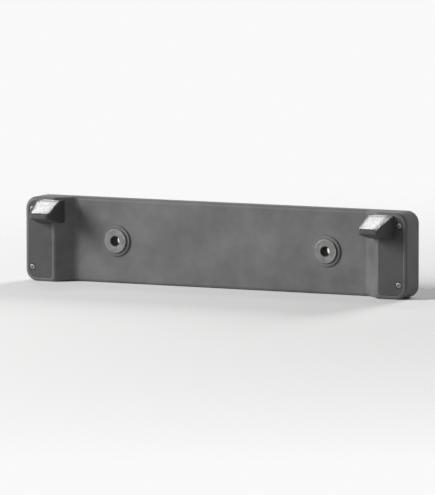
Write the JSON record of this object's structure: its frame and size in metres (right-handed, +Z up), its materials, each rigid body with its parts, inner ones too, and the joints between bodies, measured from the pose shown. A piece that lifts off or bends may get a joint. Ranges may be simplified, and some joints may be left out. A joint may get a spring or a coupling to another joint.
{
  "type": "license plate light",
  "caption": "Wide moulded trailer plate-light carrier with a clear-lensed lamp nose on the pod at each end and two flanged steel fixing sleeves in its recessed panel.",
  "frame": {"origin": "midway between the two fixing bores, on the flat back plane", "axes": "+X to the right seen from the front, along the length; +Y back towards the beam it is bolted to; +Z up"},
  "size_m": [0.489, 0.066, 0.099],
  "materials": {
    "carrier_plastic": "dark grey moulded plastic, fine grain, soft sheen",
    "cover_plastic": "darker grey moulded plastic, fine grain",
    "clear_plastic": "clear moulded plastic, fluted inside",
    "silvered_plastic": "silvered moulding",
    "black_rubber": "black rubber",
    "bulb_glass": "clear glass",
    "socket_plastic": "black moulded plastic",
    "brass": "stamped brass",
    "sleeve_steel": "zinc-plated turned steel",
    "screw_steel": "stainless steel"
  },
  "bodies": {
    "root": {"carrier": "carrier_plastic", "left_fixing_sleeve": "sleeve_steel", "right_fixing_sleeve": "sleeve_steel", "left_lamp_cover": "cover_plastic", "right_lamp_cover": "cover_plastic", "left_cover_seal": "black_rubber", "right_cover_seal": "black_rubber", "left_lens": "clear_plastic", "right_lens": "clear_plastic", "left_lens_gasket": "black_rubber", "right_lens_gasket": "black_rubber", "left_reflector": "silvered_plastic", "right_reflector": "silvered_plastic", "left_bulb": "bulb_glass", "right_bulb": "bulb_glass", "left_bulb_socket": "socket_plastic", "right_bulb_socket": "socket_plastic", "left_live_contact": "brass", "right_live_contact": "brass", "left_earth_contact": "brass", "right_earth_contact": "brass", "left_cover_screws": "screw_steel", "right_cover_screws": "screw_steel", "left_cable_grommet": "black_rubber", "right_cable_grommet": "black_rubber"}
  },
  "joints": []
}
